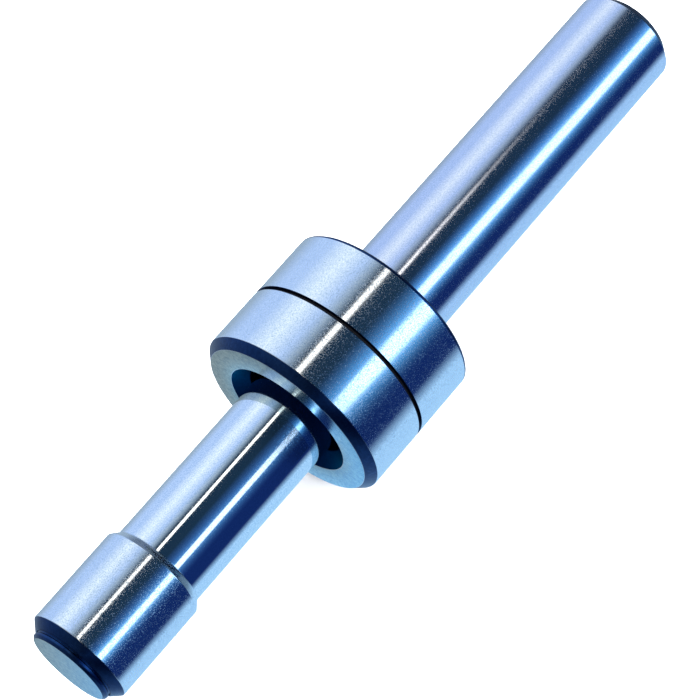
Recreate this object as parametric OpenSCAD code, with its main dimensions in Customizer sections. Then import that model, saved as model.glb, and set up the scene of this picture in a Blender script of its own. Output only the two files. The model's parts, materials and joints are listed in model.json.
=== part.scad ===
// Mechanical edge finder with a ball-bearing collar.
// The shank is held in a machine spindle. A probe hangs from the collar on a
// tension spring, is free to turn on a thrust ball bearing, and can be pushed
// sideways until its contact sleeve runs true against an edge.
// All turned pieces share one axis, which is X. The origin is on that axis, at
// the shoulder where the shank leaves the collar. +X runs along the shank and
// the contact end points towards -X. Dimensions are in millimetres.

/* [Shank] */
// Diameter of the ground shank
shank_d = 10; // [9.6:0.1:12]
// Length of the shank from the collar's shoulder
shank_len = 37.7; // [37:0.1:60]
// Chamfer at the free end of the shank
shank_chamfer = 0.9; // [0.3:0.1:1]

/* [Collar] */
// Outer diameter of the collar
collar_d = 19; // [18.8:0.1:24]
// Length of the whole collar, both halves together
collar_len = 13.6; // [13.4:0.1:16]
// Length of the upper half, which is one piece with the shank
upper_len = 6.55; // [6.2:0.05:6.9]
// Width of the dark parting line between the two halves
parting_w = 0.35; // [0.2:0.05:0.5]
// Depth of the open groove outside the parting seal
parting_depth = 0.35; // [0.2:0.05:0.5]
// Tiny chamfer on the back edge of the collar
shoulder_chamfer = 0.2; // [0.1:0.05:0.6]
// Bevel round the front face of the cap
cap_bevel = 0.85; // [0.3:0.05:1.2]
// Diameter of the cap's bore, which lets the contact sleeve through
cap_bore_d = 10.2; // [10.1:0.05:10.3]
// Diameter of the countersink at the mouth of that bore
cap_sink_d = 12.6; // [11.6:0.1:13]
// Thickness of the cap's front wall
cap_wall = 3; // [2.6:0.1:3.1]

/* [Probe] */
// Diameter of the probe's neck
neck_d = 8.8; // [8.6:0.1:8.9]
// Distance from the cap's face to the start of the contact sleeve
neck_reach = 17.55; // [12:0.05:30]
// Outer diameter of the contact sleeve
contact_d = 10; // [9.9:0.05:10]
// Length of the cone that leads from the neck to the contact diameter
contact_lead = 0.75; // [0.3:0.05:1.5]
// Length of the contact sleeve's ground cylinder
contact_len = 9.4; // [6:0.1:14]
// Chamfer at the front of the contact sleeve
contact_chamfer = 0.8; // [0.3:0.1:0.8]
// Diameter of the stem's end, which stands out of the sleeve
button_d = 8.1; // [7.6:0.1:8.2]
// How far that end stands out
button_len = 0.65; // [0.45:0.05:1.2]
// Sideways travel of the probe from the centre to its stop
float_travel = 0.6; // [0.3:0.05:0.6]

/* [Bearing] */
// Number of balls in the thrust bearing
ball_count = 9; // [6:1:11]
// Diameter of a ball
ball_d = 2; // [1.8:0.05:2]
// Diameter of the circle of ball centres
ball_pitch_d = 9.8; // [9.7:0.05:9.9]
// Thickness of each race
race_t = 1.4; // [1.3:0.05:1.4]

/* [Spring] */
// Diameter of the spring wire
wire_d = 0.6; // [0.4:0.05:0.7]
// Mean diameter of the coils
coil_d = 3.2; // [3:0.1:3.2]
// Distance between one turn and the next
coil_pitch = 1.3; // [1.1:0.05:2]

/* [Hidden] */
$fn = 96;
fine = 160;
wire_sides = 6;
rings_per_turn = 10;

// Small clearances, used wherever two pieces meet
press_gap = 0.01;
face_gap = 0.02;
run_gap = 0.05;

// Fine threads, drawn as rings
thread_depth = 0.35;
thread_pitch = 0.75;

// Collar, measured along X from the shoulder
collar_r = collar_d / 2;
cap_face_x = -collar_len;
cap_floor_x = cap_face_x + cap_wall;
cap_rim_x = -upper_len - parting_w;
ceiling_x = -2.8;
cavity_r = 6.7;
spring_bore_r = 2.8;

// Spigot of the upper half, and the thread on it that holds the cap
spigot_r = 8;
spigot_end_x = cap_floor_x + 0.3;
spigot_relief = 0.35;
spigot_thread_x = cap_rim_x - spigot_relief;
spigot_flanks = flanks(spigot_thread_x - spigot_end_x);

// Thrust bearing, from the ceiling of the cavity downwards
ball_r = ball_d / 2;
race_gap = ball_d * 0.7;
race_in_r = 3.4;
ball_x = ceiling_x - race_t - race_gap / 2;
lower_race_top_x = ball_x - race_gap / 2;
lower_race_seat_x = lower_race_top_x - race_t;
lower_race_r = cavity_r - 0.3;
cage_t = 0.8;
cage_in_r = race_in_r + 0.15;
cage_out_r = cavity_r - 0.45;

// Probe, from its hanging boss down to its end
flange_top_x = lower_race_seat_x - face_gap;
flange_t = 2.1;
flange_under_x = flange_top_x - flange_t;
flange_r = cavity_r - float_travel - 0.1;
flange_edge = 0.3;
boss_r = 2.7;
boss_edge = 0.2;
boss_bore_r = 2.1;
boss_top_x = ceiling_x - 0.4;
boss_floor_x = flange_top_x + 0.5;
neck_r = neck_d / 2;
contact_r = contact_d / 2;
cone_start_x = cap_face_x - neck_reach;
contact_start_x = cone_start_x - contact_lead;
contact_end_x = contact_start_x - contact_len;
sleeve_end_x = contact_end_x - contact_chamfer;
button_r = button_d / 2;
button_edge = 0.25;
button_groove = 0.18;
probe_end_x = sleeve_end_x - button_len;
dust_washer_t = 0.58;

// Cross pin in the boss
pin_r = 0.45;
pin_edge = 0.12;
pin_half = boss_r - 0.1;
pin_x = boss_top_x - 1.4;

// Plug in the shank's free end
plug_r = 3.5;
plug_root_r = plug_r - thread_depth;
plug_edge = 0.3;
plug_in_x = shank_len - 8.5;
plug_out_x = shank_len - 0.6;
plug_seat_x = plug_out_x - 5;
plug_relief = 0.4;
plug_thread_x = plug_in_x + plug_relief;
plug_flanks = flanks(plug_out_x - plug_in_x - 2 * plug_relief);
tap_end_x = plug_in_x - 0.5;
tap_cone = 0.3;
socket_flats = 4;
socket_depth = 2.8;

// Swivel, which hangs in the plug and holds the spring's upper hook
rod_r = 1;
eye_x = 22.4;
eye_r = 1.3;
eye_t = 1.1;
eye_hole_r = 0.5;
eye_flat = 1.6 * eye_r;
swivel_washer_t = 0.4;
swivel_head_x = plug_seat_x + swivel_washer_t + 2 * face_gap;
swivel_head_t = 1;
swivel_head_r = 1.75;
swivel_head_edge = 0.3;

// Spring: its two hooks, and the coils between them
hook_r = 1.3;
hook_sweep = 300;
hook_tilt = asin(coil_d / 2 / (2 * hook_r));
hook_reach = 2 * hook_r * cos(hook_tilt);
hook_steps = 16;
coil_start_x = pin_x - pin_r - wire_d / 2 - face_gap + hook_reach;
coil_end_x = eye_x - hook_reach;
turns = round((coil_end_x - coil_start_x) / coil_pitch);
real_pitch = (coil_end_x - coil_start_x) / turns;

STEEL = [0.66, 0.71, 0.80];
DARK_STEEL = [0.20, 0.24, 0.32];
BALL_STEEL = [0.80, 0.82, 0.86];
SPRING_STEEL = [0.55, 0.57, 0.60];
BRASS = [0.80, 0.62, 0.25];
BRONZE = [0.72, 0.50, 0.28];
RUBBER = [0.05, 0.05, 0.06];

BALLS = [for (i = [1 : ball_count]) str("ball_", i)];

// ---------- helpers ----------

// A turned piece: the outline's points are [radius, place along X]
module turned(outline) {
    rotate([0, 90, 0]) rotate_extrude($fn = fine) polygon(outline);
}

// A cylinder on the X axis, from x0 to x1
module rod_x(r, x0, x1) {
    translate([x0, 0, 0]) rotate([0, 90, 0]) cylinder(r = r, h = x1 - x0);
}

// Thread flanks that fit in a length, always an even number
function flanks(length) = 2 * floor(length / thread_pitch);

// Outline of a thread from start_x, towards +X where side is 1 and -X where it is -1
function thread(crest_r, start_x, count, side) =
    [for (i = [0 : count])
        [crest_r - (i % 2 == 0 ? thread_depth : 0), start_x + side * i * thread_pitch / 2]];

// The same points in the opposite order
function reversed(points) = [for (i = [len(points) - 1 : -1 : 0]) points[i]];

// ---------- collar and shank ----------

// Shank, upper half of the collar and the threaded spigot for the cap, in one piece
module shank() {
    shank_r = shank_d / 2;
    color(STEEL) turned(concat(
        [[spring_bore_r, ceiling_x],
         [cavity_r, ceiling_x],
         [cavity_r, spigot_end_x],
         [spigot_r - thread_depth, spigot_end_x]],
        reversed(thread(spigot_r, spigot_thread_x, spigot_flanks, -1)),
        [[spigot_r - thread_depth, -upper_len],
         [collar_r, -upper_len],
         [collar_r, -shoulder_chamfer],
         [collar_r - shoulder_chamfer, 0],
         [shank_r, 0],
         [shank_r, shank_len - shank_chamfer],
         [shank_r - shank_chamfer, shank_len],
         [plug_r + press_gap, shank_len]],
        reversed(thread(plug_r + press_gap, plug_thread_x, plug_flanks, 1)),
        [[plug_root_r + press_gap, tap_end_x],
         [spring_bore_r, tap_end_x - tap_cone]]));
}

// Lower half of the collar, which screws on the spigot and closes the cavity
module cap() {
    bore_r = cap_bore_d / 2;
    sink_r = cap_sink_d / 2;
    color(STEEL) turned(concat(
        [[bore_r, cap_face_x + sink_r - bore_r],
         [sink_r, cap_face_x],
         [collar_r - cap_bevel, cap_face_x],
         [collar_r, cap_face_x + cap_bevel],
         [collar_r, cap_rim_x],
         [spigot_r + press_gap, cap_rim_x]],
        thread(spigot_r + press_gap, spigot_thread_x, spigot_flanks, -1),
        [[spigot_r + press_gap, spigot_end_x],
         [spigot_r + press_gap, cap_floor_x],
         [bore_r, cap_floor_x]]));
}

// Thin black seal clamped between the two halves
module parting_seal() {
    inner_r = spigot_r + run_gap;
    outer_r = collar_r - parting_depth;
    color(RUBBER) turned([
        [inner_r, cap_rim_x], [outer_r, cap_rim_x], [outer_r, -upper_len], [inner_r, -upper_len]]);
}

// ---------- thrust bearing ----------

// One race: a flat washer with a track for the balls in the face next to them
module race(r_out, x0, x1) {
    rotate([0, 90, 0]) rotate_extrude($fn = fine) difference() {
        translate([race_in_r, x0]) square([r_out - race_in_r, x1 - x0]);
        translate([ball_pitch_d / 2, ball_x]) circle(r = ball_r + face_gap);
    }
}

// Fixed race, seated against the ceiling of the cavity
module upper_race() {
    color(DARK_STEEL) race(cavity_r - press_gap, ball_x + race_gap / 2, ceiling_x - press_gap);
}

// Turning race, whose flat lower face carries the probe's flange
module lower_race() {
    color(DARK_STEEL) race(lower_race_r, lower_race_seat_x, lower_race_top_x);
}

// Places a child at the centre of ball number i
module at_ball(i) {
    rotate([360 / ball_count * (i - 1), 0, 0]) translate([ball_x, 0, ball_pitch_d / 2]) children();
}

module ball(i) {
    color(BALL_STEEL) at_ball(i) sphere(r = ball_r, $fn = 48);
}

// Brass cage with one pocket for each ball
module ball_cage() {
    color(BRASS) difference() {
        rod_x(cage_out_r, ball_x - cage_t / 2, ball_x + cage_t / 2);
        rod_x(cage_in_r, ball_x - cage_t, ball_x + cage_t);
        for (i = [1 : ball_count])
            at_ball(i) rotate([0, 90, 0]) cylinder(r = ball_r + run_gap, h = ball_d, center = true);
    }
}

// ---------- tension spring and its anchorages ----------

// Turns a point of one hook, in its own plane, to its place at a coil's end.
// side is 1 for the upper hook and -1 for the lower one.
function hook_point(turn, x_end, side) = [
    x_end + side * hook_r * (1 - cos(turn)) * cos(hook_tilt),
    coil_d / 2 - hook_r * (1 - cos(turn)) * sin(hook_tilt),
    side * hook_r * sin(turn)];

// Centre line of one hook, from the coil outwards
function hook_path(x_end, side) =
    [for (i = [1 : hook_steps]) hook_point(hook_sweep * i / hook_steps, x_end, side)];

// Centre line of the coils
function coil_path() =
    [for (i = [0 : turns * rings_per_turn])
        let (turn = 360 * i / rings_per_turn)
        [coil_start_x + real_pitch * i / rings_per_turn,
         coil_d / 2 * cos(turn),
         coil_d / 2 * sin(turn)]];

function unit(v) = v / norm(v);

// Direction of the path at point i
function heading(path, i) =
    unit(path[min(i + 1, len(path) - 1)] - path[max(i - 1, 0)]);

// A sideways vector at each point, carried along the path without twisting.
// It starts square to the first heading and to any vector that isn't parallel to it.
function sideways(path) = [
    for (i = 0, s = unit(cross(heading(path, 0), [1, 0.3, 0.2]));
         i < len(path);
         i = i + 1,
         s = i < len(path) ? unit(s - (s * heading(path, i)) * heading(path, i)) : s)
        s];

// A round wire swept along a path
module wire(path, r, sides) {
    side = sideways(path);
    last = len(path) - 1;
    rings = [for (i = [0 : last], k = [0 : sides - 1])
        let (a = 360 * k / sides, across = cross(heading(path, i), side[i]))
        path[i] + r * (cos(a) * side[i] + sin(a) * across)];
    walls = [for (i = [0 : last - 1], k = [0 : sides - 1], half = [0, 1])
        let (near = i * sides, far = near + sides, next = (k + 1) % sides)
        half == 0 ? [near + k, far + k, far + next] : [near + k, far + next, near + next]];
    ends = [[for (k = [0 : sides - 1]) k],
            [for (k = [sides - 1 : -1 : 0]) last * sides + k]];
    polyhedron(points = rings, faces = concat(walls, ends), convexity = 10);
}

// Tension spring, which pulls the probe's flange up against the lower race
module tension_spring() {
    path = concat(reversed(hook_path(coil_start_x, -1)), coil_path(), hook_path(coil_end_x, 1));
    color(SPRING_STEEL) wire(path, wire_d / 2, wire_sides);
}

// Cross pin in the probe's boss that the spring's lower hook pulls on
module hook_pin() {
    color(BALL_STEEL) translate([pin_x, 0, 0]) rotate([90, 0, 0]) rotate_extrude() polygon([
        [0, -pin_half], [pin_r - pin_edge, -pin_half], [pin_r, -pin_half + pin_edge],
        [pin_r, pin_half - pin_edge], [pin_r - pin_edge, pin_half], [0, pin_half]]);
}

// Headed pin that hangs in the end plug; the spring's upper hook is in its eye
module swivel_pin() {
    head_end_x = swivel_head_x + swivel_head_t;
    color(SPRING_STEEL) union() {
        difference() {
            union() {
                rod_x(rod_r, eye_x, swivel_head_x + swivel_head_t / 2);
                translate([eye_x, 0, 0]) cylinder(r = eye_r, h = eye_t, center = true);
            }
            translate([eye_x, 0, 0]) cylinder(r = eye_hole_r, h = 2 * eye_t, center = true);
            for (side = [0, 1])
                mirror([0, 0, side]) translate([eye_x - eye_r, -eye_r, eye_t / 2])
                    cube([eye_flat, 2 * eye_r, eye_r]);
        }
        turned([
            [0, swivel_head_x],
            [swivel_head_r, swivel_head_x],
            [swivel_head_r, head_end_x - swivel_head_edge],
            [swivel_head_r - swivel_head_edge, head_end_x],
            [0, head_end_x]]);
    }
}

// Bronze washer under the head of the swivel pin
module swivel_washer() {
    color(BRONZE) difference() {
        rod_x(socket_flats / 2 - run_gap, plug_seat_x + press_gap, plug_seat_x + swivel_washer_t);
        rod_x(rod_r + run_gap, plug_seat_x - swivel_washer_t, plug_seat_x + 2 * swivel_washer_t);
    }
}

// Threaded plug in the free end, which sets the spring's pull
module end_plug() {
    hole_r = rod_r + run_gap;
    socket_x = plug_out_x - socket_depth;
    color(DARK_STEEL) difference() {
        turned(concat(
            [[hole_r, plug_in_x],
             [plug_root_r - plug_edge, plug_in_x],
             [plug_root_r, plug_in_x + plug_edge]],
            thread(plug_r, plug_thread_x, plug_flanks, 1),
            [[plug_root_r, plug_out_x - plug_edge],
             [plug_root_r - plug_edge, plug_out_x],
             [hole_r, plug_out_x]]));
        rod_x(socket_flats / 2, plug_seat_x, socket_x + run_gap);
        translate([socket_x, 0, 0]) rotate([0, 90, 0])
            cylinder(d = socket_flats / cos(30), h = 2 * socket_depth, $fn = 6);
    }
}

// ---------- probe ----------

// Probe: boss, flange, neck and the turned-down seat for the contact sleeve
module probe() {
    seat_r = button_r - press_gap;
    color(STEEL) difference() {
        turned([
            [0, probe_end_x],
            [button_r - button_edge, probe_end_x],
            [button_r, probe_end_x + button_edge],
            [button_r, sleeve_end_x - button_groove],
            [button_r - button_groove, sleeve_end_x - button_groove / 2],
            [seat_r, sleeve_end_x + button_groove / 2],
            [seat_r, cone_start_x - press_gap],
            [neck_r, cone_start_x - press_gap],
            [neck_r, flange_under_x],
            [flange_r - flange_edge, flange_under_x],
            [flange_r, flange_under_x + flange_edge],
            [flange_r, flange_top_x - flange_edge],
            [flange_r - flange_edge, flange_top_x],
            [boss_r, flange_top_x],
            [boss_r, boss_top_x - boss_edge],
            [boss_r - boss_edge, boss_top_x],
            [boss_bore_r, boss_top_x],
            [boss_bore_r, boss_floor_x],
            [0, boss_floor_x]]);
        translate([pin_x, 0, 0]) rotate([90, 0, 0])
            cylinder(r = pin_r + press_gap, h = 4 * boss_r, center = true, $fn = 48);
    }
}

// Hardened sleeve that touches the work, pressed on the probe's end
module contact_sleeve() {
    color(STEEL) turned([
        [button_r, sleeve_end_x],
        [contact_r - contact_chamfer, sleeve_end_x],
        [contact_r, contact_end_x],
        [contact_r, contact_start_x],
        [neck_r, cone_start_x],
        [button_r, cone_start_x]]);
}

// Loose washer that rides on the neck and keeps chips out of the cap's bore
module dust_washer() {
    inner_r = neck_r + run_gap;
    seat_x = cap_floor_x + face_gap;
    color(DARK_STEEL) turned([
        [inner_r, seat_x], [flange_r, seat_x],
        [flange_r, seat_x + dust_washer_t], [inner_r, seat_x + dust_washer_t]]);
}

// ---------- what is drawn ----------

shank();
cap();
parting_seal();
upper_race();
lower_race();
ball_cage();
for (i = [1 : ball_count])
    ball(i);
tension_spring();
swivel_pin();
swivel_washer();
end_plug();
probe();
hook_pin();
contact_sleeve();
dust_washer();
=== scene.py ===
# %% [markdown]
# # A mechanical edge finder, turned and ground in Blender
#
# A machinist holds this tool by its straight shank in a milling spindle. A probe hangs out of the
# two-part collar on a tension spring. It is pushed a little off centre, and when its contact sleeve
# touches an edge it is nudged back until it runs true, which tells where the edge is. The probe turns
# freely on a thrust ball bearing inside the collar.
#
# Nearly every piece is round, so this lesson is about turned work: how to model it cleanly, how to
# give edges the tiny radius that catches the light, and how ground steel is lit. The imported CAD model
# is the frame. It gives every size and place, and the bodies that the pieces ride on.

# %% Load the frame
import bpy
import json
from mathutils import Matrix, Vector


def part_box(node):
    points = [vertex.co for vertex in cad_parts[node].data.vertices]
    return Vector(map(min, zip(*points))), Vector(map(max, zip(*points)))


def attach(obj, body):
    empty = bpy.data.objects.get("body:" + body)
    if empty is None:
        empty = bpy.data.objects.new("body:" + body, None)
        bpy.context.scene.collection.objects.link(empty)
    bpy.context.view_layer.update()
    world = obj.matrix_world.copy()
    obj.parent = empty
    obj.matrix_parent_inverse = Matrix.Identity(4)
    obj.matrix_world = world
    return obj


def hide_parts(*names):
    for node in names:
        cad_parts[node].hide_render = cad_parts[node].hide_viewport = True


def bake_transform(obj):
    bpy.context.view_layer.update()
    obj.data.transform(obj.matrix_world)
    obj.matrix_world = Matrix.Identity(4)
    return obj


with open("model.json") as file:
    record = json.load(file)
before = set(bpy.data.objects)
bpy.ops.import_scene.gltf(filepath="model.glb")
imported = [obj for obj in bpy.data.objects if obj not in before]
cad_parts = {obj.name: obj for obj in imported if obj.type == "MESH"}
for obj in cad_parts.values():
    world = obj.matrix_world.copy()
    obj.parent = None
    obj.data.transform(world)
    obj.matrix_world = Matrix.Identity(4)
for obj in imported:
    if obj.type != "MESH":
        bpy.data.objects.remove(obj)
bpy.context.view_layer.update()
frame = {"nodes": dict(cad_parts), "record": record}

import json
import math

import bmesh
import bpy
from mathutils import Vector

print("CAD nodes:", len(frame["nodes"]))

# %% [markdown]
# ## Sizes
#
# The outside sizes are read from the frame, so a changed CAD model changes these pieces too. The small
# ones, such as an edge's radius, are named here in millimetres. The pieces are modelled in millimetres
# and brought to metres when they are done, because Blender's bevel loses edges that are only a few
# hundredths of a millimetre wide when a unit is a metre.

# %% Sizes, in millimetres
MM = 0.001


def low(node):
    """Lowest corner of a CAD node, in millimetres."""
    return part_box(node)[0] / MM


def high(node):
    """Highest corner of a CAD node, in millimetres."""
    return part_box(node)[1] / MM


def middle(node):
    """Middle of a CAD node's box, in millimetres."""
    return (low(node) + high(node)) / 2


shank_mount = frame["record"]["mounts"][0]
shank_r = shank_mount["dims"]["r_mm"]
shank_end_x = high("shank").x
shank_chamfer = shank_end_x - shank_mount["dims"]["length_mm"]
collar_r = high("cap").z
cap_face_x = low("cap").x
cap_rim_x = high("cap").x
upper_face_x = high("parting_seal").x
contact_r = high("contact_sleeve").z
cone_start_x = high("contact_sleeve").x
sleeve_end_x = low("contact_sleeve").x
probe_end_x = low("probe").x
flange_r = high("probe").z
press_gap = 0.01
ceiling_x = high("upper_race").x + press_gap
print(f"collar {2 * collar_r:.1f} x {-cap_face_x:.1f} mm, overall {shank_end_x - probe_end_x:.2f} mm")

# %% [markdown]
# ## Camera
#
# The tool lies on its side, with its axis along X. It is seen from above and from the contact end, with
# a long lens, so the shank runs away to the upper right. The camera aims at a point on the axis just
# inside the collar.

# %% Camera
aim = Vector((-4.8, -0.11, -0.03)) * MM
view_azimuth = math.radians(-51.7)
view_elevation = math.radians(64)
camera_distance = 230.7 * MM
towards_camera = Vector((
    math.sin(view_azimuth) * math.cos(view_elevation),
    -math.cos(view_azimuth) * math.cos(view_elevation),
    math.sin(view_elevation)))

bpy.ops.object.camera_add(location=aim + towards_camera * camera_distance)
camera = bpy.context.object
camera.name = "camera"
camera.rotation_euler = (-towards_camera).to_track_quat("-Z", "Y").to_euler()
camera.data.sensor_width = 36
camera.data.lens = 133.7
camera.data.clip_start = 0.01
camera.data.clip_end = 10
bpy.context.scene.camera = camera
print("camera at", [round(c, 4) for c in camera.location])

# %% [markdown]
# ## Turning a piece
#
# On a lathe, a piece is an outline turned about an axis. There are three ways to do that here: the Screw
# modifier, the spin operator, or a ring that is extruded and resized step by step. The last is used,
# because each step is one corner of the outline, which keeps the code close to a turner's drawing, and
# the rings never leave a seam that has to be merged.
#
# A corner is a pair: how far along the axis, and how far from it. If the outline comes back to its first
# corner, the piece is a ring with a bore. If not, its two ends are closed with flat faces.

# %% Turning
SIDES = 240
SAME_PLACE = 0.002  # corners closer than this are one corner


def deselect_all():
    """Leaves edit mode and selects nothing."""
    if bpy.context.object and bpy.context.object.mode != "OBJECT":
        bpy.ops.object.mode_set(mode="OBJECT")
    bpy.ops.object.select_all(action="DESELECT")


def turned(name, outline, sides=SIDES, bored=True):
    """A round piece on the X axis, in millimetres. outline is a list of corners (x, r)."""
    deselect_all()
    x, r = outline[0]
    bpy.ops.mesh.primitive_circle_add(
        vertices=sides, radius=r, fill_type="NOTHING", location=(x, 0, 0), rotation=(0, math.pi / 2, 0))
    piece = bpy.context.object
    piece.name = name
    piece.data.name = name
    bpy.ops.object.transform_apply(location=True, rotation=True, scale=True)
    bpy.ops.object.mode_set(mode="EDIT")
    bpy.ops.mesh.select_all(action="SELECT")
    for next_x, next_r in outline[1:] + (outline[:1] if bored else []):
        bpy.ops.mesh.extrude_region_move(TRANSFORM_OT_translate={"value": (next_x - x, 0, 0)})
        bpy.ops.transform.resize(value=(1, next_r / r, next_r / r), center_override=(next_x, 0, 0))
        x, r = next_x, next_r
    bpy.ops.mesh.select_all(action="SELECT")
    bpy.ops.mesh.remove_doubles(threshold=SAME_PLACE)
    if not bored:
        bpy.ops.mesh.fill_holes(sides=0)
    bpy.ops.mesh.normals_make_consistent(inside=False)
    bpy.ops.object.mode_set(mode="OBJECT")
    return piece


print("sides of a round piece:", SIDES)

# %% [markdown]
# ## Breaking the edges, and finishing a piece
#
# No real edge is perfectly sharp, and the tiny round on it is what catches the light. It could be drawn
# into every outline as an arc, but a Bevel modifier finds all the sharp edges by itself and rounds them
# alike. Weighted normals then keep the flat faces flat up to the rounds.

# %% Breaking edges and finishing
BROKEN_EDGE = 0.06
SHARP = math.radians(25)
SLIVER = 0.0005  # edges shorter than this are dissolved


def apply_modifier(piece, kind, **settings):
    """Adds a modifier, sets it and applies it."""
    modifier = piece.modifiers.new(kind.title(), kind)
    for key, value in settings.items():
        setattr(modifier, key, value)
    bpy.context.view_layer.objects.active = piece
    bpy.ops.object.modifier_apply(modifier=modifier.name)


def break_edges(piece, width=BROKEN_EDGE, segments=3):
    """Rounds every sharp edge, as a stone or a file does after turning."""
    apply_modifier(piece, "BEVEL", width=width, segments=segments, limit_method="ANGLE",
                   angle_limit=SHARP, use_clamp_overlap=True)


def finish_piece(piece, material, body, slot, *stands_for):
    """Brings a piece to metres, shades it, and puts it on its body in place of CAD nodes."""
    deselect_all()
    piece.select_set(True)
    bpy.context.view_layer.objects.active = piece
    bpy.ops.object.mode_set(mode="EDIT")
    bpy.ops.mesh.select_all(action="SELECT")
    bpy.ops.mesh.dissolve_degenerate(threshold=SLIVER)
    bpy.ops.object.mode_set(mode="OBJECT")
    piece.scale = (MM, MM, MM)
    bpy.ops.object.transform_apply(location=True, rotation=True, scale=True)
    bpy.ops.object.shade_smooth()
    apply_modifier(piece, "WEIGHTED_NORMAL", mode="FACE_AREA", weight=50, keep_sharp=True)
    piece.data.materials.clear()
    piece.data.materials.append(material)
    if body:
        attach(piece, body)
    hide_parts(*stands_for)
    print(f"{piece.name}: {len(piece.data.polygons)} faces")


print("broken edges:", BROKEN_EDGE, "mm")

# %% [markdown]
# ## Materials
#
# Nearly every surface here is metal that was worked in some way. Pictures of steel could be wrapped round
# the pieces, but noise needs no picture, has no seam and stays sharp close up. So all materials are built
# from the same few blocks: noise on the Object coordinates, which stays with the piece when it moves, a
# blend between two close colours, an uneven gloss and a very fine bump.

# %% Nodes
def add_node(tree, kind, **settings):
    """A shader node with its settings, or the defaults of its sockets, set."""
    node = tree.nodes.new(kind)
    for key, value in settings.items():
        if key in node.inputs:
            node.inputs[key].default_value = value
        else:
            setattr(node, key, value)
    return node


def maths(tree, operation, *values):
    """A Math node. The values are sockets or numbers."""
    node = add_node(tree, "ShaderNodeMath", operation=operation)
    for socket, value in zip(node.inputs, values):
        if isinstance(value, bpy.types.NodeSocket):
            tree.links.new(value, socket)
        else:
            socket.default_value = value
    return node.outputs[0]


def remap(tree, value, from_low, from_high, to_low, to_high, curve="LINEAR"):
    """A clamped Map Range node: from_low becomes to_low, and from_high becomes to_high."""
    node = add_node(tree, "ShaderNodeMapRange", interpolation_type=curve)
    for socket, number in zip(node.inputs[1:5], (from_low, from_high, to_low, to_high)):
        socket.default_value = number
    tree.links.new(value, node.inputs["Value"])
    return node.outputs["Result"]


def noise(tree, scale, stretch=(1, 1, 1), detail=3.0, roughness=0.6):
    """Noise on the Object coordinates. stretch is how much finer it is along each axis."""
    place = add_node(tree, "ShaderNodeTexCoord")
    mapping = add_node(tree, "ShaderNodeMapping", Scale=stretch)
    texture = add_node(tree, "ShaderNodeTexNoise", Scale=scale, Detail=detail, Roughness=roughness)
    tree.links.new(place.outputs["Object"], mapping.inputs["Vector"])
    tree.links.new(mapping.outputs["Vector"], texture.inputs["Vector"])
    return texture.outputs["Fac"]


def mixed_colour(tree, factor, first, second, blend="MIX"):
    """Between two colours, which are sockets or triples, by a factor, which is a socket or a number."""
    node = add_node(tree, "ShaderNodeMix", data_type="RGBA", blend_type=blend)
    if isinstance(factor, bpy.types.NodeSocket):
        tree.links.new(factor, node.inputs[0])
    else:
        node.inputs[0].default_value = factor
    for socket, colour in zip(node.inputs[6:8], (first, second)):
        if isinstance(colour, bpy.types.NodeSocket):
            tree.links.new(colour, socket)
        else:
            socket.default_value = (*colour, 1)
    return node.outputs[2]


# %% Shaders
def bumps(tree, shader, *layers):
    """Adds layers of bump, each a height socket and its depth in metres."""
    last = None
    for height, depth in layers:
        bump = add_node(tree, "ShaderNodeBump", Strength=1.0, Distance=depth)
        tree.links.new(height, bump.inputs["Height"])
        if last:
            tree.links.new(last, bump.inputs["Normal"])
        last = bump.outputs["Normal"]
    tree.links.new(last, shader.inputs["Normal"])


def new_material(name, metallic=1.0):
    """A material with its node tree and Principled shader."""
    material = bpy.data.materials.new(name)
    material.use_nodes = True
    shader = material.node_tree.nodes["Principled BSDF"]
    shader.inputs["Metallic"].default_value = metallic
    return material, material.node_tree, shader


def brushed_round(tree, shader, stretch):
    """Blurs the reflections along X and keeps them sharp round it."""
    shader.inputs["Anisotropic"].default_value = stretch
    shader.inputs["Anisotropic Rotation"].default_value = 0.25
    tangent = add_node(tree, "ShaderNodeTangent", direction_type="RADIAL", axis="X")
    tree.links.new(tangent.outputs[0], shader.inputs["Tangent"])


print("materials so far:", len(bpy.data.materials))

# %% [markdown]
# ## Ground steel
#
# A cylindrical grinder leaves marks that run round the piece, far too fine to see one by one. They blur
# each reflection along the axis and leave it sharp across, which is why ground shafts show long straight
# bands. The marks could be drawn as bump, but they are finer than the camera can see and would only give
# noise, so the blur comes from an anisotropic gloss whose tangent goes round X. Over it lie scattered
# pits that sparkle in the dark bands, and slow changes of gloss where hands and coolant have been.

# %% Ground steel
def ground_steel(name, light, dark, rough, stretch, sparkle):
    """Bluish hardened steel, ground between centres on the X axis."""
    material, tree, shader = new_material(name)
    brushed_round(tree, shader, stretch)
    grain = noise(tree, 9000, detail=2.0)
    patches = noise(tree, 260, stretch=(0.4, 1, 1), detail=4.0)
    rings = noise(tree, 2500, stretch=(4, 0.15, 0.15), detail=2.0)
    speckle = remap(tree, grain, 0.36, 0.62, 0, 1)
    tree.links.new(mixed_colour(tree, speckle, light, dark), shader.inputs["Base Color"])

    slow = remap(tree, patches, 0.35, 0.65, rough - 0.02, rough + 0.03)
    pits = remap(tree, grain, 0.50, 0.68, 0, 1)
    fine = maths(tree, "MULTIPLY", pits, sparkle)
    tree.links.new(maths(tree, "ADD", slow, fine), shader.inputs["Roughness"])
    bumps(tree, shader, (rings, 0.0000002), (pits, 0.0000001))
    return material


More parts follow.
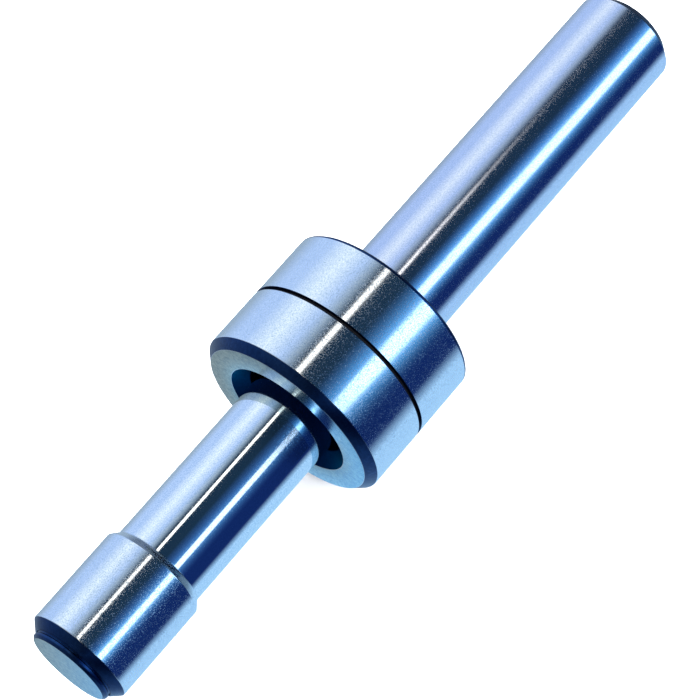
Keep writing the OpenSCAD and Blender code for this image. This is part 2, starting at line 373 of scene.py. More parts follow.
collar_steel = ground_steel("collar_steel", (0.99, 0.98, 1.0), (0.68, 0.76, 0.87), 0.10, 0.4, 0.34)
shank_steel = ground_steel("shank_steel", (0.88, 0.86, 0.96), (0.66, 0.70, 0.84), 0.11, 0.1, 0.19)
probe_steel = ground_steel("probe_steel", (0.99, 0.98, 1.0), (0.72, 0.80, 0.90), 0.045, 0.0, 0.10)
sleeve_steel = ground_steel("sleeve_steel", (0.99, 0.98, 1.0), (0.68, 0.76, 0.87), 0.10, 0.4, 0.36)
print("ground steels:", [m.name for m in (collar_steel, shank_steel, probe_steel, sleeve_steel)])

# %% [markdown]
# ## Turned faces
#
# The flat faces were only turned, so they keep the rings of the facing cut. Rings could be a wave
# texture, but real ones are uneven, so a one-dimensional noise is read at the distance from the axis.
# Each face's colour is painted grey on one side and blue towards the other: a painted reflection of the
# studio's grey boxes and blue cards.

# %% Turned faces
def facing_marks(tree, scale):
    """Noise that only changes with the distance from the X axis: the rings of a facing cut."""
    place = add_node(tree, "ShaderNodeTexCoord")
    flat = add_node(tree, "ShaderNodeMapping", Scale=(0, 1, 1))
    length = add_node(tree, "ShaderNodeVectorMath", operation="LENGTH")
    texture = add_node(tree, "ShaderNodeTexNoise", noise_dimensions="1D", Scale=scale, Detail=2.0)
    tree.links.new(place.outputs["Object"], flat.inputs["Vector"])
    tree.links.new(flat.outputs["Vector"], length.inputs[0])
    tree.links.new(length.outputs["Value"], texture.inputs["W"])
    return texture.outputs["Fac"]


def faced_steel(name, radius, rough, stretch):
    """A turned face with uneven rings and mottles, and a painted reflection: grey towards +Y and blue
    towards -Y.
    """
    material, tree, shader = new_material(name)
    brushed_round(tree, shader, stretch)
    mottle = noise(tree, 2600, detail=5.0, roughness=0.7)
    blotch = remap(tree, mottle, 0.36, 0.64, 0, 1)
    place = add_node(tree, "ShaderNodeTexCoord")
    sides = add_node(tree, "ShaderNodeSeparateXYZ")
    tree.links.new(place.outputs["Object"], sides.inputs[0])
    # Painted reflection: the colour turns from grey at +Y to blue at -Y, as the grey boxes and blue cards
    # would be mirrored.
    painted_reflection_side = remap(tree, sides.outputs["Y"], radius, -radius, 0, 1)
    mottled_painted_grey = mixed_colour(tree, blotch, (0.70, 0.70, 0.58), (0.42, 0.45, 0.40))
    mottled_painted_blue = mixed_colour(tree, blotch, (0.55, 0.82, 0.92), (0.33, 0.62, 0.86))
    tree.links.new(mixed_colour(tree, painted_reflection_side, mottled_painted_grey, mottled_painted_blue), shader.inputs["Base Color"])
    tree.links.new(remap(tree, mottle, 0, 1, rough - 0.08, rough + 0.08), shader.inputs["Roughness"])
    bumps(tree, shader, (facing_marks(tree, 9000), 0.000002), (mottle, 0.000006))
    return material


cap_face_steel = faced_steel("cap_face_steel", 0.0085, 0.24, stretch=0.4)
end_face_steel = faced_steel("end_face_steel", 0.0040, 0.30, stretch=0.0)
print("turned faces:", cap_face_steel.name, end_face_steel.name)

# %% [markdown]
# ## Dark bevels and inner pieces
#
# The bevels and grooves were never ground after hardening and keep its blue-black skin, which outlines each
# piece; its dark navy is deepened to paint the dark reflections that the bevels show, and it is also
# painted as shade on a band behind the collar's shoulder and on the edges beside the parting line. The
# bores are painted darker still, as painted shade in the hollows. The pieces inside the collar are lapped,
# drawn or stamped.
# None of them shows a direction in its gloss, so one plain function serves them all, with each metal's
# own two colours and gloss.

# %% Skin and painted dark, painted bore shade, inner metals and rubber
def plain_metal(name, light, dark, rough, metallic=1.0, scale=1500):
    """A formed surface with a soft unevenness in colour and gloss. It isn't metal if metallic is 0."""
    material, tree, shader = new_material(name, metallic)
    spots = noise(tree, scale, detail=4.0)
    tree.links.new(mixed_colour(tree, spots, light, dark), shader.inputs["Base Color"])
    tree.links.new(remap(tree, spots, 0, 1, rough - 0.06, rough + 0.08), shader.inputs["Roughness"])
    bumps(tree, shader, (noise(tree, scale * 5), 0.000001))
    return material


# Blue-black skin whose navy is partly painted: it paints the bevels' dark reflections, and painted shade
# beside the joints.
skin_and_painted_dark = plain_metal("skin_and_painted_dark", (0.030, 0.085, 0.24), (0.006, 0.020, 0.075), 0.28, scale=3000)
# Painted shade: a near-black colour for the bores, the countersink and the hollows, where shade falls.
painted_bore_shade = plain_metal("painted_bore_shade", (0.004, 0.020, 0.080), (0.001, 0.006, 0.032), 0.40, scale=3000)
race_steel = plain_metal("race_steel", (0.55, 0.58, 0.64), (0.40, 0.44, 0.52), 0.22)
ball_steel = plain_metal("ball_steel", (0.85, 0.87, 0.90), (0.75, 0.78, 0.83), 0.08)
cage_brass = plain_metal("cage_brass", (0.82, 0.63, 0.27), (0.62, 0.44, 0.16), 0.30)
washer_bronze = plain_metal("washer_bronze", (0.72, 0.48, 0.26), (0.55, 0.34, 0.17), 0.34)
spring_steel = plain_metal("spring_steel", (0.55, 0.57, 0.61), (0.38, 0.40, 0.44), 0.26)
black_oxide = plain_metal("black_oxide", (0.055, 0.06, 0.07), (0.02, 0.022, 0.028), 0.34, metallic=0.6)
seal_rubber = plain_metal("seal_rubber", (0.006, 0.006, 0.008), (0.002, 0.002, 0.003), 0.60, metallic=0.0)
rubber_shader = seal_rubber.node_tree.nodes["Principled BSDF"]
rubber_shader.inputs["Specular IOR Level"].default_value = 0.15
# A blue specular tint paints a blue reflection into the bores' shade.
bore_shader = painted_bore_shade.node_tree.nodes["Principled BSDF"]
bore_shader.inputs["Specular Tint"].default_value = (0.38, 0.75, 1.0, 1)
print("materials:", len(bpy.data.materials))

# %% [markdown]
# ## Threads
#
# The cap and the end plug are screwed in. A true helix can be swept, but it has to be joined to the
# piece by a Boolean, which can leave a ragged mesh. The threads are hidden when the tool is together, so
# they are rings with the thread's profile, and are simply more corners in the outline.

# %% Threads
thread_depth = 0.35
thread_pitch = 0.75


def thread_corners(crest_r, depth, start_x, pitch, flanks):
    """Corners of a fine thread, drawn as rings. A negative pitch runs towards -X."""
    corners = []
    for i in range(flanks + 1):
        corners.append((start_x + i * pitch / 2, crest_r - (depth if i % 2 == 0 else 0)))
    return corners


def even_flanks(length, pitch):
    """Thread flanks that fit in a length, always an even number."""
    return 2 * math.floor(length / pitch)


print(f"threads: {thread_pitch} mm pitch, {thread_depth} mm deep")

# %% [markdown]
# ## Two finishes on one piece
#
# A ground piece still has turned faces and dark bevels. They could be separate meshes, but then the
# rounded edge between them would be lost. Instead each face of the mesh is asked where it is, and gets
# the material that belongs there.

# %% Dressing
ON_FACE = 0.01
BRIGHT_ROUND = 0.04  # how much of a dark bevel's rounded edge stays bright, beside the ground surface


def dress(piece, material, belongs):
    """Gives another material to the faces for which belongs(x, r), in millimetres, is true."""
    piece.data.materials.append(material)
    dressed = 0
    for face in piece.data.polygons:
        x, y, z = face.center / MM
        if belongs(x, math.hypot(y, z)):
            face.material_index = len(piece.data.materials) - 1
            dressed += 1
    print(f"  {material.name}: {dressed} faces")


print("flat faces are found within", ON_FACE, "mm")

# %% [markdown]
# ## Shank and upper half of the collar
#
# On the real tool this is one turned and ground piece: the shank, the shoulder, the upper half of the
# collar, and a threaded spigot below it for the cap. It is hollow for the bearing and for the spring.
# The hollow could be cut out with a Boolean, but an outline that runs up the inside and down the outside
# gives it for nothing, with clean rings all over.

# %% Shank
spigot_r = 8.0
spigot_end_x = cap_face_x + 3.3
spigot_thread_x = cap_rim_x - 0.35
spigot_flanks = even_flanks(spigot_thread_x - spigot_end_x, thread_pitch)
cavity_r = 6.7
spring_bore_r = 2.8
plug_r = high("end_plug").z
plug_root_r = plug_r - thread_depth
plug_in_x = low("end_plug").x
plug_out_x = high("end_plug").x
plug_relief = 0.4
plug_flanks = even_flanks(plug_out_x - plug_in_x - 2 * plug_relief, thread_pitch)
shoulder_chamfer = 0.2
# Width of a painted dark band on the collar, just behind its shoulder chamfer.
painted_dark_band = 0.15

spigot_thread = thread_corners(spigot_r, thread_depth, spigot_thread_x, -thread_pitch, spigot_flanks)
tapped_thread = thread_corners(
    plug_r + press_gap, thread_depth, plug_in_x + plug_relief, thread_pitch, plug_flanks)
shank = turned("shank_and_collar", [
    (ceiling_x, spring_bore_r), (ceiling_x, cavity_r), (spigot_end_x, cavity_r),
    (spigot_end_x, spigot_r - thread_depth),
    *reversed(spigot_thread),
    (upper_face_x, spigot_r - thread_depth), (upper_face_x, collar_r),
    (-shoulder_chamfer - painted_dark_band, collar_r), (-shoulder_chamfer, collar_r),
    (0, collar_r - shoulder_chamfer), (0, shank_r),
    (shank_end_x - shank_chamfer, shank_r), (shank_end_x, shank_r - shank_chamfer),
    (shank_end_x, plug_r + press_gap),
    *reversed(tapped_thread),
    (plug_in_x - 0.5, plug_root_r + press_gap), (plug_in_x - 0.8, spring_bore_r)])
break_edges(shank)
finish_piece(shank, shank_steel, "holder", "ground_steel", "shank")
dress(shank, collar_steel, lambda x, r: x < 0 and r > collar_r - 0.02)
dress(shank, cap_face_steel, lambda x, r: abs(x) < ON_FACE and shank_r + 0.05 < r < collar_r)
dress(shank, end_face_steel, lambda x, r: x > shank_end_x - ON_FACE and r > plug_r)
# Painted shade in the bores and the hollow inside.
dress(shank, painted_bore_shade, lambda x, r: (
    r < plug_r + 0.05 or x < upper_face_x or (x < ceiling_x and r < spigot_r)))
# Blue-black skin on the chamfers, darkened as painted reflection, and painted shade on a band behind the
# shoulder and on the edge beside the parting line.
dress(shank, skin_and_painted_dark, lambda x, r: (
    (-shoulder_chamfer - painted_dark_band < x < -ON_FACE and r > collar_r - shoulder_chamfer)
    or (upper_face_x <= x < upper_face_x + BROKEN_EDGE and r > spigot_r)
    or (shank_end_x - shank_chamfer < x < shank_end_x - ON_FACE and r > plug_r + 0.5)))

# %% [markdown]
# ## Cap
#
# The lower half of the collar screws on the spigot and closes the bearing. Its face has a wide bevel
# outside and a countersink round the bore, which the contact sleeve just passes through. Its bevel could
# come from the Bevel modifier too, but a drawn one keeps its exact width and can be given its own
# blue-black skin, whose darkness is partly painted reflection.

# %% Cap
cap_bevel = 0.85
cap_bore_r = 5.1
cap_sink_r = 6.3
cap_floor_x = cap_face_x + 3
cap_thread = thread_corners(
    spigot_r + press_gap, thread_depth, spigot_thread_x, -thread_pitch, spigot_flanks)
cap = turned("bearing_cap", [
    (cap_face_x + cap_sink_r - cap_bore_r, cap_bore_r), (cap_face_x, cap_sink_r),
    (cap_face_x, collar_r - cap_bevel), (cap_face_x + cap_bevel, collar_r),
    (cap_rim_x, collar_r), (cap_rim_x, spigot_r + press_gap),
    *cap_thread,
    (spigot_end_x, spigot_r + press_gap), (cap_floor_x, spigot_r + press_gap), (cap_floor_x, cap_bore_r)])
break_edges(cap)
finish_piece(cap, collar_steel, "holder", "ground_steel", "cap")
dress(cap, cap_face_steel, lambda x, r: (
    x < cap_face_x + ON_FACE and cap_sink_r < r < collar_r - cap_bevel))
# Painted shade in the bore, the countersink and the cap's inside.
dress(cap, painted_bore_shade, lambda x, r: (
    r < cap_sink_r or (x > cap_face_x + cap_bevel and r < collar_r - 0.1)))
# Blue-black skin on the bevel, darkened as painted reflection, and painted shade on the rim beside the
# parting line.
dress(cap, skin_and_painted_dark, lambda x, r: (
    (r > collar_r - cap_bevel and cap_face_x + ON_FACE < x < cap_face_x + cap_bevel - BRIGHT_ROUND)
    or x > cap_rim_x - BROKEN_EDGE))

# %% [markdown]
# ## Parting seal
#
# The thin black line round the collar is the seal between the two halves, a little below the surface.
# A torus would be the usual start for a ring, but this seal is cut flat, so it is turned as a washer.
# Its edges are rounded, as a squeezed seal's are.

# %% Parting seal
def washer(name, x0, x1, inner_r, outer_r, edge, sides=SIDES):
    """A flat ring between two places along X, with rounded edges."""
    ring = turned(name, [(x0, inner_r), (x0, outer_r), (x1, outer_r), (x1, inner_r)], sides)
    break_edges(ring, edge, segments=4)
    return ring


seal = washer("parting_ring", cap_rim_x, upper_face_x, spigot_r + 0.05, high("parting_seal").z, 0.1)
finish_piece(seal, seal_rubber, "holder", "seal_rubber", "parting_seal")

# %% [markdown]
# ## Probe
#
# The probe is one long piece: a hollow boss for the spring's hook, a flange that slides on the bearing,
# the neck, and a turned-down seat for the contact sleeve. Its end stands out of the sleeve as a smooth
# button. It could be joined from cylinders, but one outline gives one closed skin with no hidden faces.

# %% Probe
neck_r = 4.4
button_r = 4.05
button_edge = 0.25
button_groove = 0.18
seat_r = button_r - press_gap
flange_top_x = low("lower_race").x - 0.02
flange_under_x = flange_top_x - 2.1
flange_edge = 0.3
boss_r = 2.7
boss_edge = 0.2
boss_bore_r = 2.1
boss_top_x = high("probe").x
probe = turned("probe_stem", [
    (probe_end_x, button_r - button_edge), (probe_end_x + button_edge, button_r),
    (sleeve_end_x - button_groove, button_r),
    (sleeve_end_x - button_groove / 2, button_r - button_groove),
    (sleeve_end_x + button_groove / 2, seat_r),
    (cone_start_x - press_gap, seat_r), (cone_start_x - press_gap, neck_r),
    (flange_under_x, neck_r), (flange_under_x, flange_r - flange_edge),
    (flange_under_x + flange_edge, flange_r), (flange_top_x - flange_edge, flange_r),
    (flange_top_x, flange_r - flange_edge), (flange_top_x, boss_r),
    (boss_top_x - boss_edge, boss_r), (boss_top_x, boss_r - boss_edge), (boss_top_x, boss_bore_r),
    (flange_top_x + 0.5, boss_bore_r)], bored=False)
break_edges(probe)
finish_piece(probe, probe_steel, "probe", "probe_steel", "probe")
dress(probe, end_face_steel, lambda x, r: x < probe_end_x + ON_FACE and r < button_r - button_edge)
# Blue-black skin on the button's side and groove, its darkness partly painted reflection.
dress(probe, skin_and_painted_dark, lambda x, r: probe_end_x + ON_FACE < x < sleeve_end_x + 0.2)

# %% [markdown]
# ## Contact sleeve
#
# A hardened ring is pressed on the probe's end and ground to the same diameter as the shank. A short
# cone leads up to it from the neck, and a broad bevel ends it. It could be part of the probe's outline,
# but as a piece of its own it can be taken off, and the fine joint line at its end is a real groove.

# %% Contact sleeve
contact_lead = 0.75
contact_chamfer = 0.8
sleeve = turned("contact_ring", [
    (sleeve_end_x, button_r), (sleeve_end_x, contact_r - contact_chamfer),
    (sleeve_end_x + contact_chamfer, contact_r), (cone_start_x - contact_lead, contact_r),
    (cone_start_x, neck_r), (cone_start_x, button_r)])
break_edges(sleeve)
finish_piece(sleeve, sleeve_steel, "probe", "sleeve_steel", "contact_sleeve")
# Blue-black skin on the end chamfer, its darkness partly painted reflection.
dress(sleeve, skin_and_painted_dark, lambda x, r: x < sleeve_end_x + contact_chamfer - BRIGHT_ROUND)

# %% [markdown]
# ## Bearing
#
# Nine balls run between two races, each with a round track, and a brass cage keeps them apart. The races
# are turned like the rest, with an arc in their outline for the track. The cage starts as a washer, and
# its pockets are bored by a Boolean, because nine straight holes are quicker to cut than to model round.

# %% Races
ball_x = middle("ball_1").x
ball_r = (high("ball_1").x - low("ball_1").x) / 2
ball_pitch_r = middle("ball_1").z
ball_count = sum(1 for name in frame["nodes"] if name.startswith("ball_") and name != "ball_cage")


def race(name, seat_x, face_x, inner_r, outer_r):
    """A race between its flat seat and its face, which has a track for the balls."""
    track_r = ball_r + 0.02
    side = 1 if face_x > ball_x else -1
    edge_angle = math.acos(abs(face_x - ball_x) / track_r)
    steps = 8
    track = []
    for i in range(steps + 1):
        angle = edge_angle * (2 * i / steps - 1)
        track.append((ball_x + side * track_r * math.cos(angle), ball_pitch_r + track_r * math.sin(angle)))
    piece = turned(name, [
        (seat_x, outer_r), (seat_x, inner_r), (face_x, inner_r), *track, (face_x, outer_r)])
    break_edges(piece, 0.05)
    return piece


race_inner_r = 3.4
fixed_race = race(
    "fixed_race", high("upper_race").x, low("upper_race").x, race_inner_r, high("upper_race").z)
finish_piece(fixed_race, race_steel, "holder", "race_steel", "upper_race")
turning_race = race(
    "turning_race", low("lower_race").x, high("lower_race").x, race_inner_r, high("lower_race").z)
finish_piece(turning_race, race_steel, "swivel", "race_steel", "lower_race")

# %% Cage
def shape(piece, operation, tool):
    """Adds a tool shape to a piece, or cuts it away, and removes the tool."""
    apply_modifier(piece, "BOOLEAN", operation=operation, object=tool, solver="EXACT")
    bpy.data.objects.remove(tool)


cage_inner_r = 3.55
cage = washer("cage_ring", low("ball_cage").x, high("ball_cage").x, cage_inner_r, high("ball_cage").z, 0.05)
for i in range(ball_count):
    turn = 2 * math.pi * i / ball_count
    deselect_all()
    bpy.ops.mesh.primitive_cylinder_add(
        vertices=48, radius=ball_r + 0.05, depth=2 * ball_r, rotation=(0, math.pi / 2, 0),
        location=(ball_x, -ball_pitch_r * math.sin(turn), ball_pitch_r * math.cos(turn)))
    shape(cage, "DIFFERENCE", bpy.context.object)
break_edges(cage, 0.03, segments=2)
finish_piece(cage, cage_brass, "cage", "cage_brass", "ball_cage")

# %% [markdown]
# ## Tension spring
#
# A spring is wound wire, so it is wound here too. A curve with a round bevel would do, but a curve's helix
# has to be worked out point by point. Here a small circle, the section of the wire, is run round and along
# the axis by a Screw modifier. Then each open end is spun into a hook.

# %% Spring: the coil
wire_r = 0.3
coil_r = 1.6
coil_pitch = 1.3
hook_r = 1.3
hook_sweep = math.radians(300)
hook_tilt = math.asin(coil_r / (2 * hook_r))
hook_reach = 2 * hook_r * math.cos(hook_tilt)
eye_r = 1.3
eye_x = low("swivel_pin").x + eye_r
coil_start_x = low("hook_pin").x - wire_r - 0.02 + hook_reach
coil_end_x = eye_x - hook_reach
turns = round((coil_end_x - coil_start_x) / coil_pitch)

deselect_all()
bpy.ops.mesh.primitive_circle_add(vertices=14, radius=wire_r, location=(coil_start_x, coil_r, 0))
spring = bpy.context.object
spring.name = "wound_spring"
spring.data.name = "wound_spring"
bpy.ops.object.transform_apply(location=True)
apply_modifier(spring, "SCREW", axis="X", steps=36, render_steps=36, iterations=turns,
               angle=2 * math.pi, screw_offset=(coil_end_x - coil_start_x) / turns)
print("coils:", turns)


# %% Spring: the hooks
def wind_hook(piece, end_x, side):
    """Spins the wire's open end at end_x into a hook. side is 1 at the upper end, -1 at the lower."""
    start = Vector((end_x, coil_r, 0))
    inward = Vector((side * math.cos(hook_tilt), -math.sin(hook_tilt), 0))
    bpy.ops.object.mode_set(mode="EDIT")
    bpy.ops.mesh.select_mode(type="VERT")
    bpy.ops.mesh.select_all(action="DESELECT")
    bpy.ops.object.mode_set(mode="OBJECT")
    for vertex in piece.data.vertices:
        vertex.select = (vertex.co - start).length < wire_r * 1.01 and abs(vertex.co.z) < 0.001
    bpy.ops.object.mode_set(mode="EDIT")
    bpy.ops.mesh.spin(steps=30, angle=hook_sweep, center=start + inward * hook_r,
                      axis=Vector((0, 0, side)).cross(inward))
    bpy.ops.object.mode_set(mode="OBJECT")


wind_hook(spring, coil_end_x, 1)
wind_hook(spring, coil_start_x, -1)
bpy.ops.object.mode_set(mode="EDIT")
bpy.ops.mesh.select_all(action="SELECT")
bpy.ops.mesh.remove_doubles(threshold=0.001)
bpy.ops.mesh.fill_holes(sides=0)
bpy.ops.mesh.normals_make_consistent(inside=False)
wire = bmesh.from_edit_mesh(spring.data)  # winding can turn a closed skin inside out
if wire.calc_volume(signed=True) < 0:
    bpy.ops.mesh.flip_normals()
bpy.ops.object.mode_set(mode="OBJECT")
spring_box = [Vector(corner) for corner in spring.bound_box]
print("spring from", [round(c, 2) for c in spring_box[0]], "to", [round(c, 2) for c in spring_box[6]])
print("CAD spring from", [round(c, 2) for c in low("tension_spring")],
      "to", [round(c, 2) for c in high("tension_spring")])
finish_piece(spring, spring_steel, None, "spring_steel", "tension_spring")
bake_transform(spring)

# %% [markdown]
# ## Swivel pin
#
# The spring's upper hook holds an eye, and the eye's rod hangs in the end plug by a head on a bronze
# washer, so that the spring can turn with the probe. The rod is flattened where the eye is. That can't
# be turned, so two blocks are cut away, a disc is added and its hole is drilled, as on a mill.

# %% Swivel pin
rod_r = 1.0
eye_t = 1.1
eye_hole_r = 0.5
eye_flat = 1.6 * eye_r
head_r = high("swivel_pin").z
head_t = 1.0
head_edge = 0.3
head_end_x = high("swivel_pin").x
head_x = head_end_x - head_t
pin = turned("headed_swivel_pin", [
    (eye_x, rod_r), (head_x, rod_r), (head_x, head_r),
    (head_end_x - head_edge, head_r), (head_end_x, head_r - head_edge)], sides=96, bored=False)
for side in (-1, 1):
    deselect_all()
    bpy.ops.mesh.primitive_cube_add(size=1, location=(
        eye_x - eye_r + eye_flat / 2, 0, side * (eye_t / 2 + eye_r / 2 + press_gap)))
    flat_tool = bpy.context.object
    flat_tool.scale = (eye_flat, 2 * eye_r, eye_r)
    bpy.ops.object.transform_apply(scale=True)
    shape(pin, "DIFFERENCE", flat_tool)
for radius, depth, operation in ((eye_r, eye_t, "UNION"), (eye_hole_r, 2 * eye_t, "DIFFERENCE")):
    deselect_all()
    bpy.ops.mesh.primitive_cylinder_add(vertices=96, radius=radius, depth=depth, location=(eye_x, 0, 0))
    shape(pin, operation, bpy.context.object)
break_edges(pin, 0.05, segments=2)
finish_piece(pin, spring_steel, "swivel", "spring_steel", "swivel_pin")

# %% [markdown]
# ## End plug
#
# A threaded plug in the shank's free end carries the swivel pin and sets the spring's pull. It has a
# hexagon socket for a key. The socket could be inset in the end face and pushed in, but it meets a
# round hole, so it is cut with a six-sided cylinder.

# %% End plug
plug_edge = 0.3
plug_seat_x = low("swivel_washer").x - press_gap
hole_r = rod_r + 0.05
seat_bore_r = 2.0
socket_flats = 2 * seat_bore_r
socket_x = plug_out_x - 2.8
plug = turned("socket_plug", [
    (plug_in_x, hole_r), (plug_in_x, plug_root_r - plug_edge), (plug_in_x + plug_edge, plug_root_r),
    *thread_corners(plug_r, thread_depth, plug_in_x + plug_relief, thread_pitch, plug_flanks),
    (plug_out_x - plug_edge, plug_root_r), (plug_out_x, plug_root_r - plug_edge),
    (plug_out_x, seat_bore_r - 0.1), (socket_x + 0.1, seat_bore_r - 0.1), (socket_x + 0.1, seat_bore_r),
    (plug_seat_x, seat_bore_r), (plug_seat_x, hole_r)], sides=120)
deselect_all()
bpy.ops.mesh.primitive_cylinder_add(
    vertices=6, radius=socket_flats / 2 / math.cos(math.radians(30)), depth=2 * (plug_out_x - socket_x),
    location=(plug_out_x, 0, 0), rotation=(0, math.pi / 2, 0))
shape(plug, "DIFFERENCE", bpy.context.object)
break_edges(plug, 0.04, segments=2)
finish_piece(plug, black_oxide, "holder", "plug_black", "end_plug")

# %% [markdown]
# ## Cross pin and washers
#
# The probe's boss has a cross pin for the lower hook. It is turned on X like the rest and laid across, and
# its turn is applied, because a finished piece's object stays unturned. A bronze washer lies under the
# swivel pin's head, and a loose dust washer rides on the neck.

# %% Cross pin and washers
pin_r = high("hook_pin").z
pin_half = high("hook_pin").y
pin_edge = 0.12
cross_pin = turned("cross_pin", [
    (-pin_half, pin_r - pin_edge), (-pin_half + pin_edge, pin_r),
    (pin_half - pin_edge, pin_r), (pin_half, pin_r - pin_edge)], sides=64, bored=False)
break_edges(cross_pin, 0.03, segments=2)
cross_pin.rotation_euler = (0, 0, math.pi / 2)
cross_pin.location = (middle("hook_pin").x, 0, 0)
bpy.ops.object.transform_apply(location=True, rotation=True)
finish_piece(cross_pin, ball_steel, "probe", "ball_steel", "hook_pin")

head_washer = washer("head_washer", low("swivel_washer").x, high("swivel_washer").x,
                     hole_r, high("swivel_washer").z, 0.05, sides=96)
finish_piece(head_washer, washer_bronze, "holder", "washer_bronze", "swivel_washer")
neck_washer = washer("neck_washer", low("dust_washer").x, high("dust_washer").x,
                     neck_r + 0.05, high("dust_washer").z, 0.08)
finish_piece(neck_washer, race_steel, "probe", "race_steel", "dust_washer")

# %% [markdown]
# ## Balls
#
# A ball is the one thing that the CAD already makes right, so the nine balls keep their CAD meshes and
# only get a polished finish.

# %% Balls
for i in range(1, ball_count + 1):
    ball = frame["nodes"][f"ball_{i}"]
    ball.data.materials.clear()
    ball.data.materials.append(ball_steel)
print("balls:", ball_count)

# %% [markdown]
# ## Floor
#
# The tool lies on a pale table top, which isn't part of it, so it is staged and not a piece. A curved
# backdrop would do as well, but a wide plane is enough for a small tool. Mirror-like steel shows whatever
# is round it, so the table is left out of the reflections, where the studio's own light belongs.

# %% Floor
deselect_all()
bpy.ops.mesh.primitive_plane_add(size=6, location=(0, 0, -collar_r * MM))
floor = bpy.context.object
floor.name = "floor"
floor_paint, _, floor_shader = new_material("floor_paint", metallic=0.0)
floor_shader.inputs["Base Color"].default_value = (0.94, 0.94, 0.945, 1)
floor_shader.inputs["Roughness"].default_value = 0.7
floor.data.materials.append(floor_paint)
floor.visible_glossy = False
print("floor at", round(floor.location.z, 4))

# %% [markdown]
# ## Studio light
#
# A polished cylinder is lit by what it mirrors. The studio is a tunnel of soft boxes and cards that run
# along the tool, so the world's colour mostly depends on the angle round the X axis. Angles here are
# those of the surface, from the line that faces the camera (0) to the two edges (-90 and 90), and a
# mirror doubles them. Grey and pale boxes light the left side, then come a dark, a blue and a navy card,
# and a sky-blue box lights the right. The blue of the steel is mostly the blue of these cards. Real area
# lights could do this, but the bands would then shift with every piece's place, and a ramp over the
# angle puts each band just where it is wanted.

# %% World: the tunnel
GREY_BOX = (0.30, 0.40, 0.50)
PALE_BOX = (0.42, 0.58, 0.85)
BRIGHT_BOX = (0.75, 0.88, 0.96)
DARK_CARD = (0.01, 0.03, 0.06)
BLUE_CARD = (0.03, 0.10, 0.30)
NAVY_CARD = (0.005, 0.02, 0.11)
SKY_BOX = (0.35, 0.60, 0.86)

tunnel = [
    (-90, GREY_BOX), (-75, GREY_BOX), (-60, PALE_BOX), (-50, PALE_BOX), (-36, BRIGHT_BOX),
    (-25, PALE_BOX), (-20, GREY_BOX), (-15, DARK_CARD), (0, DARK_CARD), (10, BLUE_CARD),
    (16, BLUE_CARD), (30, NAVY_CARD), (46, NAVY_CARD), (55, SKY_BOX), (90, SKY_BOX)]

world = bpy.data.worlds.new("studio")
bpy.context.scene.world = world
world.use_nodes = True
tree = world.node_tree
backdrop = tree.nodes["Background"]
direction = add_node(tree, "ShaderNodeTexCoord")
split = add_node(tree, "ShaderNodeSeparateXYZ")
tree.links.new(direction.outputs["Generated"], split.inputs[0])
along, sideways, upward = split.outputs

facing = math.degrees(math.atan2(-towards_camera.y, towards_camera.z))
around = maths(tree, "ARCTAN2", maths(tree, "MULTIPLY", sideways, -1.0), upward)
surface_angle = maths(tree, "SUBTRACT", maths(tree, "MULTIPLY", around, 90 / math.pi), facing / 2)
surface_angle = maths(tree, "WRAP", surface_angle, 90, -90)
ramp = add_node(tree, "ShaderNodeValToRGB")
tree.links.new(remap(tree, surface_angle, -90, 90, 0, 1), ramp.inputs[0])
stops = ramp.color_ramp.elements
for i, (angle, colour) in enumerate(tunnel):
    position = (angle + 90) / 180
    stop = stops[i] if i < 2 else stops.new(position)
    stop.position = position
    stop.color = (*colour, 1)
print("tunnel stops:", len(stops))

# %% [markdown]
# ## Strip lights and cards
#
# Two long strip lights draw the thin lines: a warm one on the left, which ends a little way up the
# shank, and a white one on the right, which grows wider towards the shank and has a blue glow. How far
# along the tool a mirrored direction points says where on the tool it is seen. A black card hides the
# white strip just below the collar, and on the neck its glow is dimmed. Seen along the axis, both ends
# of the tunnel are dark. Separate lamps could draw such lines too, but a strip in the world has an edge
# as sharp or as soft as the number that is given for it.

# %% World: helpers for lights
def fade_in(value, start, end):
    """0 before start and 1 past end."""
    return remap(tree, value, start, end, 0, 1, "SMOOTHSTEP")


def fade_out(value, start, end):
    """1 before start and 0 past end."""
    return remap(tree, value, start, end, 1, 0, "SMOOTHSTEP")


def product(*values):
    """All the values multiplied."""
    result = values[0]
    for value in values[1:]:
        result = maths(tree, "MULTIPLY", result, value)
    return result


def off_strip(centre, half_width):
    """How far round the tunnel from a strip's centre, in half widths. Both are given in degrees."""
    off = maths(tree, "ABSOLUTE", maths(tree, "SUBTRACT", surface_angle, centre))
    return maths(tree, "DIVIDE", off, half_width)


def line_of(off):
    """A strip's line, nearly sharp at its sides."""
    return fade_out(off, 0.75, 1.25)


def glow_of(off):
    """The wide soft glow round a strip."""
    return maths(tree, "POWER", remap(tree, off, 0.8, 4.2, 1, 0), 2.4)


def lit(light, amount, colour):
    """The light so far, with a colour added where amount is above 0."""
    return mixed_colour(tree, 1.0, light, mixed_colour(tree, amount, (0, 0, 0), colour), blend="ADD")


def shaded(light, factor):
    """The light so far, times a factor."""
    return mixed_colour(tree, 1.0, light, factor, blend="MULTIPLY")


print("the camera faces the tunnel at", round(facing, 1), "degrees")

# %% World: strip lights
warm_off = off_strip(centre=-12.3, half_width=1.35)
warm_line = product(line_of(warm_off), fade_out(along, 0.385, 0.425))

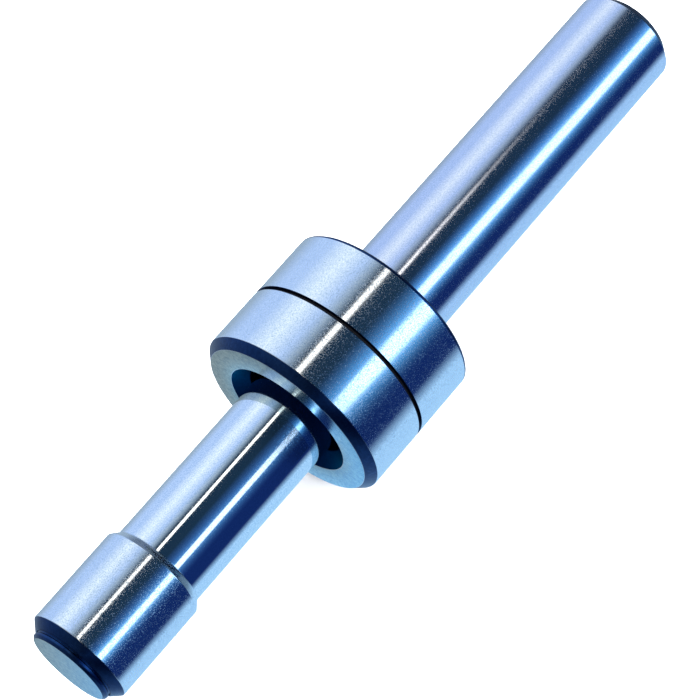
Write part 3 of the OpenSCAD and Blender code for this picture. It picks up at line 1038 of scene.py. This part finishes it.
white_off = off_strip(
    centre=remap(tree, along, 0.33, 0.47, 16.0, 20.3),
    half_width=remap(tree, along, 0.30, 0.345, 2.9, 4.5))
white_line = line_of(white_off)
on_neck = product(remap(tree, along, 0.220, 0.228, 0, 1), remap(tree, along, 0.300, 0.308, 1, 0))
neck_glow = 0.3
white_glow = product(glow_of(white_off), remap(tree, on_neck, 0, 1, 1.0, neck_glow))
print("world nodes with the strips:", len(tree.nodes))

# %% World: cards and dark ends
card = product(
    fade_in(along, 0.297, 0.301), fade_out(along, 0.319, 0.323),
    fade_in(surface_angle, -11.5, -9.5), fade_out(surface_angle, 42, 46))
past_card = maths(tree, "SUBTRACT", 1.0, card)
card_shade = 0.4
probe_end_shade = 0.25
shank_end_shade = 0.3

light = shaded(ramp.outputs["Color"], remap(tree, card, 0, 1, 1.0, card_shade))
light = lit(light, warm_line, (1.8, 1.76, 1.58))
light = lit(light, product(white_line, past_card), (0.95, 1.1, 1.1))
light = lit(light, product(white_glow, past_card), (0.13, 0.50, 0.88))
light = shaded(light, remap(tree, along, -0.9, -0.2, probe_end_shade, 1.0))
light = shaded(light, remap(tree, along, 0.6, 0.8, 1.0, shank_end_shade))
print("world nodes with the cards:", len(tree.nodes))

# %% [markdown]
# ## Plain light and soft boxes
#
# The table would take the colours of all those boxes, and from the side the tunnel would show behind the
# tool. So plain white light falls on whatever scatters it and fills the background, and only mirrored
# rays see the tunnel. Two large soft boxes brighten the table further. They are left out of the
# reflections, so they don't cut across the bands.

# %% World: plain light
path = add_node(tree, "ShaderNodeLightPath")
plain = maths(tree, "MAXIMUM", path.outputs["Is Diffuse Ray"], path.outputs["Is Camera Ray"])
tree.links.new(mixed_colour(tree, plain, light, (1.5, 1.5, 1.5)), backdrop.inputs["Color"])
backdrop.inputs["Strength"].default_value = 1.18
print("world nodes:", len(tree.nodes))


# %% Soft boxes
def soft_box(name, place, size, power):
    """A square area light that faces the tool."""
    bpy.ops.object.light_add(type="AREA", location=place)
    box = bpy.context.object
    box.name = name
    box.data.size = size
    box.data.energy = power
    box.rotation_euler = (aim - Vector(place)).to_track_quat("-Z", "Y").to_euler()
    box.visible_glossy = False
    print(f"{name}: {size} m, {power} W")


soft_box("soft_box_left", (-0.5, 0.6, 1.0), 1.6, 30)
soft_box("soft_box_right", (0.6, -0.5, 1.0), 1.6, 30)
bpy.context.scene.view_settings.view_transform = "Standard"
